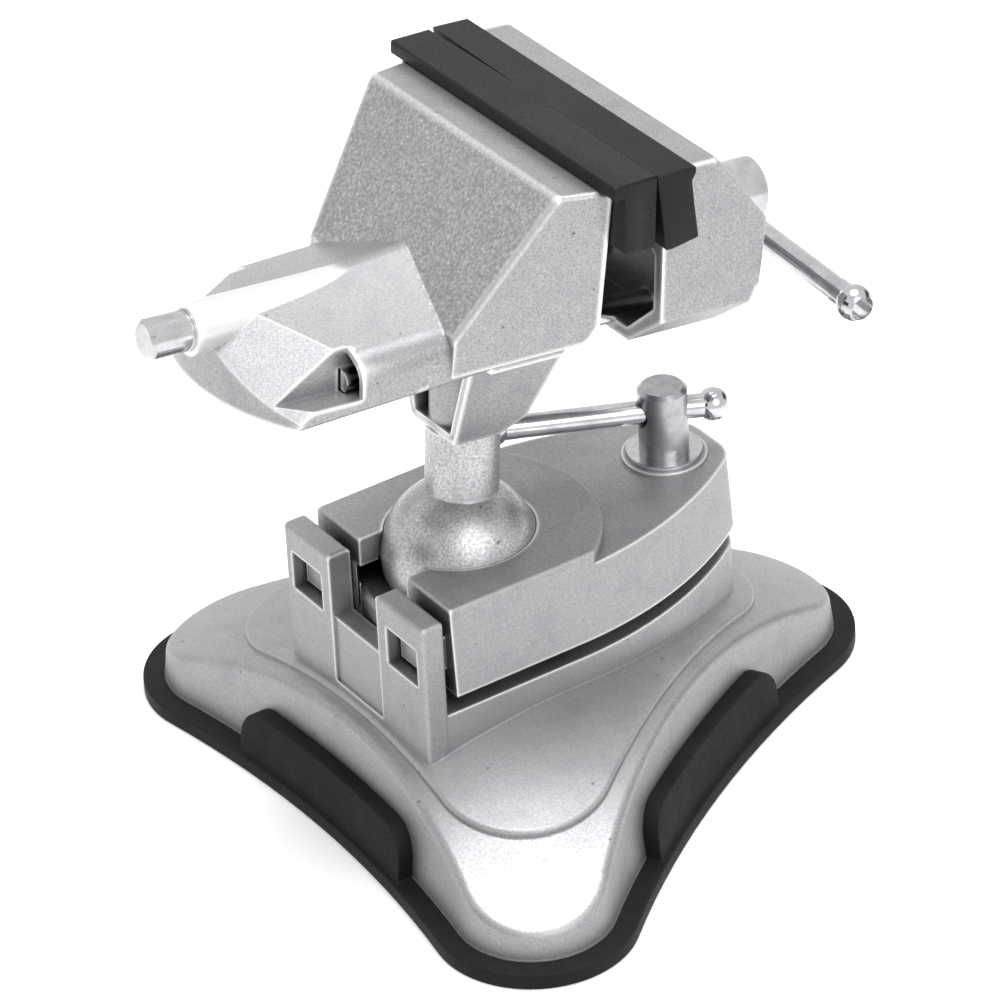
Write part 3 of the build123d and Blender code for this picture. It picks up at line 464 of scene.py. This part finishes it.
# the jaw caps: a harder and blacker rubber
capRubber = dict(
    padRubber,
    light="151515",
    dark="0f0f0f",
    edgeColour="242424",
    specular=0.26,
    roughLow=0.42,
    roughHigh=0.6,
)
# the grip of the lever: dipped plastic, a little glossier than the rubbers
gripPlastic = dict(padRubber, dark="121212", specular=0.4, roughLow=0.35, roughHigh=0.5)


def mouldedRubber(name, values):
    material, tree, shader, place = newMaterial(name)
    grain = addNode(
        tree,
        "ShaderNodeTexNoise",
        {"Vector": place, "Scale": 1 / (values["grainMm"] * mm), "Detail": 3.0, "Roughness": 0.6},
    ).outputs["Fac"]
    cloud = addNode(
        tree,
        "ShaderNodeTexNoise",
        {"Vector": place, "Scale": 1 / (values["cloudMm"] * mm), "Detail": 4.0, "Roughness": 0.6},
    ).outputs["Fac"]
    rounded = addNode(
        tree, "ShaderNodeBevel", {"Radius": values["edgeMm"] * mm}, samples=4
    ).outputs["Normal"]
    normal = addNode(tree, "ShaderNodeNewGeometry").outputs["Normal"]
    facing = addNode(
        tree, "ShaderNodeVectorMath", {0: rounded, 1: normal}, operation="DOT_PRODUCT"
    ).outputs["Value"]
    edge = addNode(
        tree,
        "ShaderNodeMapRange",
        {
            "Value": facing,
            "From Min": values["edgeFrom"],
            "From Max": values["edgeTo"],
            "To Max": values["edgeShare"],
        },
    ).outputs["Result"]
    bloom = addNode(
        tree,
        "ShaderNodeMapRange",
        {"Value": cloud, "From Min": values["bloomFrom"], "From Max": values["bloomTo"]},
    ).outputs["Result"]
    colour = addNode(
        tree,
        "ShaderNodeMix",
        {0: bloom, 6: linear(values["dark"]), 7: linear(values["light"])},
        data_type="RGBA",
    ).outputs[2]
    rubbed = addNode(
        tree, "ShaderNodeMix", {0: edge, 6: colour, 7: linear(values["edgeColour"])}, data_type="RGBA"
    ).outputs[2]
    rough = addNode(
        tree,
        "ShaderNodeMapRange",
        {
            "Value": grain,
            "From Min": grainSpread[0],
            "From Max": grainSpread[1],
            "To Min": values["roughLow"],
            "To Max": values["roughHigh"],
        },
    ).outputs["Result"]
    relief = addNode(
        tree, "ShaderNodeBump", {"Height": grain, "Distance": values["reliefMm"] * mm, "Strength": 0.5}
    ).outputs["Normal"]
    shader.inputs["Specular IOR Level"].default_value = values["specular"]
    tree.links.new(rubbed, shader.inputs["Base Color"])
    tree.links.new(rough, shader.inputs["Roughness"])
    tree.links.new(relief, shader.inputs["Normal"])
    return material


finishes = {
    "castBase": castAluminium("blastedAluminium", castBase),
    "castJaw": castAluminium("coarseBlastedAluminium", castJaw),
    "castBall": castAluminium("tumbledSilverBall", castBall),
    "chromeSteel": turnedSteel("polishedChromeSteel", chromeSteel),
    "satinSteel": turnedSteel("tumbledSatinSteel", satinSteel),
    "plainSteel": turnedSteel("plainTurnedSteel", plainSteel),
    "padRubber": mouldedRubber("mouldedPadRubber", padRubber),
    "capRubber": mouldedRubber("mouldedCapRubber", capRubber),
    "gripPlastic": mouldedRubber("dippedGripPlastic", gripPlastic),
}
wearing = {
    "castBase": ["base_casting", "clamp_plate", "suction_lever"],
    "castJaw": ["fixed_jaw", "moving_jaw"],
    "chromeSteel": [
        "clamp_bar",
        "clamp_bar_knobs",
        "lead_screw",
        "spindle_bar",
        "spindle_bar_knobs",
        "guide_rods",
        "clamp_washer",
    ],
    "castBall": ["ball_stud", "ball_cup"],
    "satinSteel": ["clamp_screw"],
    "plainSteel": [
        "pad_plate",
        "pull_stud",
        "cam_shaft",
        "shaft_clip",
        "lever_screw",
        "stud_clip",
        "rod_pins",
        "spindle_clip",
    ],
    "padRubber": ["suction_pad"],
    "capRubber": ["fixed_jaw_cap", "moving_jaw_cap"],
    "gripPlastic": ["lever_grip"],
}
for finish, names in wearing.items():
    for name in names:
        nodes[name].data.materials.clear()
        nodes[name].data.materials.append(finishes[finish])
print("materials on the frame")


# soft pieces: each starts as its solid's shape, with its doubles merged, and gets moulded edges
softPiece = {"mergeMm": 0.002, "flatDeg": 1.0, "smoothDeg": 35.0}


def softShape(node):
    shape = bmesh.new()
    shape.from_mesh(nodes[node].data)
    bmesh.ops.remove_doubles(shape, verts=shape.verts, dist=softPiece["mergeMm"] * mm)
    bmesh.ops.dissolve_limit(
        shape,
        angle_limit=math.radians(softPiece["flatDeg"]),
        verts=shape.verts,
        edges=shape.edges,
    )
    return shape


def roundEdges(shape, values, chosen=None):
    edges = []
    for edge in shape.edges:
        if len(edge.link_faces) == 2 and edge.calc_face_angle() > math.radians(values["sharpDeg"]):
            if chosen is None or chosen(edge):
                edges.append(edge)
    bmesh.ops.bevel(
        shape,
        geom=edges,
        offset=values["roundMm"] * mm,
        offset_type="OFFSET",
        segments=values["steps"],
        profile=0.5,
        affect="EDGES",
        material=-1,
        clamp_overlap=True,
    )


def finishPiece(name, shape, body, replaced, finish):
    bmesh.ops.triangulate(shape, faces=[face for face in shape.faces if len(face.verts) > 4])
    mesh = bpy.data.meshes.new(name)
    shape.to_mesh(mesh)
    shape.free()
    mesh.polygons.foreach_set("use_smooth", [True] * len(mesh.polygons))
    mesh.set_sharp_from_angle(angle=math.radians(softPiece["smoothDeg"]))
    mesh.materials.append(finishes[finish])
    piece = bpy.data.objects.new(name, mesh)
    bpy.context.scene.collection.objects.link(piece)
    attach(piece, body)
    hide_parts(replaced)


suctionPad = {"roundMm": 0.8, "steps": 3, "sharpDeg": 50}
padShape = softShape("suction_pad")
roundEdges(padShape, suctionPad)
finishPiece("rubberSuctionPad", padShape, "base", "suction_pad", "padRubber")
print("suction pad moulded")

# the two caps touch from the near end to the middle of the jaws, and part toward the far end;
# places are in mm in the head's frame
jawCaps = {
    "roundMm": 0.5,
    "steps": 3,
    "sharpDeg": 20,
    "meeting": 16.35,
    "meetingMm": 0.3,
    "bendMm": 3.0,
    "slices": 28,
    "halfLength": 40.5,
    "slitFrom": 9.0,
    "slitMm": 1.3,
    "stepFrom": 32.5,
    "stepMm": 0.85,
    "farEndMm": 1.0,
    "farEndShort": 0.8,
}


def slitWidth(across, values):
    if across > values["stepFrom"]:
        return values["slitMm"]
    share = (across - values["slitFrom"]) / (values["stepFrom"] - values["slitFrom"])
    return values["stepMm"] * max(0.0, share)


def mouldCap(name, node, side, body):
    shape = softShape(node)

    def awayFromMeeting(edge):
        spots = [inHead(vert.co)[0] for vert in edge.verts]
        return not all(abs(spot - jawCaps["meeting"]) < jawCaps["meetingMm"] for spot in spots)

    roundEdges(shape, jawCaps, awayFromMeeting)
    for cut in range(1, jawCaps["slices"]):
        across = jawCaps["halfLength"] * (1 - cut / jawCaps["slices"])
        bmesh.ops.bisect_plane(
            shape,
            geom=shape.verts[:] + shape.edges[:] + shape.faces[:],
            plane_co=ballCentre + acrossJaws * across * mm,
            plane_no=acrossJaws,
        )
    for vert in shape.verts:
        along, across, _ = inHead(vert.co)
        nearness = max(0.0, 1 - abs(along - jawCaps["meeting"]) / jawCaps["bendMm"])
        if nearness > 0:
            vert.co += alongScrew * side * slitWidth(across, jawCaps) * nearness * mm / 2
        if side < 0 and across > jawCaps["halfLength"] - jawCaps["farEndMm"]:
            vert.co -= acrossJaws * jawCaps["farEndShort"] * mm
    finishPiece(name, shape, body, node, "capRubber")


mouldCap("fixedJawRubberCap", "fixed_jaw_cap", -1, "vise_head")
mouldCap("movingJawRubberCap", "moving_jaw_cap", 1, "moving_jaw")
print("jaw caps moulded")

leverGrip = {"roundMm": 0.5, "steps": 3, "sharpDeg": 50}
gripShape = softShape("lever_grip")
roundEdges(gripShape, leverGrip)
finishPiece("dippedLeverGrip", gripShape, "suction_cam", "lever_grip", "gripPlastic")
print("lever grip dipped")


# studio: pale floor, white surround, soft lights
studio = {
    "surround": 0.5,
    "floorHalf": 1.3,
    "floorLight": "fafafa",
    "floorDark": "f4f4f4",
    "floorClouds": 2.5,
    "floorRough": 0.7,
    "floorGlow": 0.25,
}
middle = Vector((0, 0, 0.06))


# 1 for rays from the camera, from a gloss or through glass, and 0 for rays that light a surface
def sharpRays(tree):
    path = addNode(tree, "ShaderNodeLightPath")
    glossy = addNode(
        tree,
        "ShaderNodeMath",
        {0: path.outputs["Is Glossy Ray"], 1: path.outputs["Is Transmission Ray"]},
        operation="MAXIMUM",
    ).outputs[0]
    return addNode(
        tree, "ShaderNodeMath", {0: path.outputs["Is Camera Ray"], 1: glossy}, operation="MAXIMUM"
    ).outputs[0]


def addStudio(values):
    world = bpy.data.worlds.new("studioWorld")
    bpy.context.scene.world = world
    world.use_nodes = True
    tree = world.node_tree
    tree.nodes.clear()
    white = (1, 1, 1, 1)
    seen = addNode(tree, "ShaderNodeBackground", {"Color": white, "Strength": 1.0})
    lighting = addNode(tree, "ShaderNodeBackground", {"Color": white, "Strength": values["surround"]})
    mixed = addNode(
        tree, "ShaderNodeMixShader", {0: sharpRays(tree), 1: lighting.outputs[0], 2: seen.outputs[0]}
    )
    addNode(tree, "ShaderNodeOutputWorld", {"Surface": mixed.outputs[0]})

    shape = bmesh.new()
    bmesh.ops.create_grid(shape, x_segments=1, y_segments=1, size=values["floorHalf"])
    mesh = bpy.data.meshes.new("floor")
    shape.to_mesh(mesh)
    shape.free()
    floor = bpy.data.objects.new("floor", mesh)
    bpy.context.scene.collection.objects.link(floor)
    material, tree, shader, place = newMaterial("paleFloor")
    cloud = addNode(
        tree, "ShaderNodeTexNoise", {"Vector": place, "Scale": values["floorClouds"]}
    ).outputs["Fac"]
    shade = addNode(
        tree,
        "ShaderNodeMix",
        {0: cloud, 6: linear(values["floorDark"]), 7: linear(values["floorLight"])},
        data_type="RGBA",
    ).outputs[2]
    tree.links.new(shade, shader.inputs["Base Color"])
    shader.inputs["Roughness"].default_value = values["floorRough"]
    # the camera and the metals see the floor as white as the surround, with the object's shadow on it
    glow = addNode(
        tree, "ShaderNodeMath", {0: sharpRays(tree), 1: values["floorGlow"]}, operation="MULTIPLY"
    ).outputs[0]
    shader.inputs["Emission Color"].default_value = white
    tree.links.new(glow, shader.inputs["Emission Strength"])
    mesh.materials.append(material)


# name: place in metres, diameter, watts
lamps = {
    "cameraLight": ((-0.1, -1.15, 1.0), 1.2, 7.5),
    "overheadLight": ((0.1, 0.1, 1.45), 0.9, 17.5),
}


def addLamp(name, place, size, power):
    data = bpy.data.lights.new(name, "AREA")
    data.shape = "DISK"
    data.size = size
    data.energy = power
    lamp = bpy.data.objects.new(name, data)
    lamp.location = place
    lamp.rotation_euler = (middle - lamp.location).to_track_quat("-Z", "Y").to_euler()
    bpy.context.scene.collection.objects.link(lamp)


# dark cards beside the table give the polished steel its streaks: only reflections see them;
# name: place and half width in metres
cardShape = 0.55
cards = {
    "leftCard": ((-1.35, 0.05, 0.45), 0.45),
    "rightCard": ((1.35, -0.1, 0.5), 0.45),
}


def addCard(name, place, half):
    shape = bmesh.new()
    bmesh.ops.create_grid(shape, x_segments=1, y_segments=1, size=half)
    bmesh.ops.scale(shape, vec=(1, cardShape, 1), verts=shape.verts)
    turn = (middle - Vector(place)).to_track_quat("-Z", "Y").to_matrix().to_4x4()
    bmesh.ops.transform(shape, matrix=Matrix.Translation(place) @ turn, verts=shape.verts)
    mesh = bpy.data.meshes.new(name)
    shape.to_mesh(mesh)
    shape.free()
    mesh.materials.append(finishes["gripPlastic"])
    card = bpy.data.objects.new(name, mesh)
    bpy.context.scene.collection.objects.link(card)
    card.visible_camera = False
    card.visible_diffuse = False
    card.visible_shadow = False


addStudio(studio)
for name, (place, half) in cards.items():
    addCard(name, place, half)
for name, (place, size, power) in lamps.items():
    addLamp(name, place, size, power)
bpy.context.scene.view_settings.view_transform = "Standard"
print("studio lit")
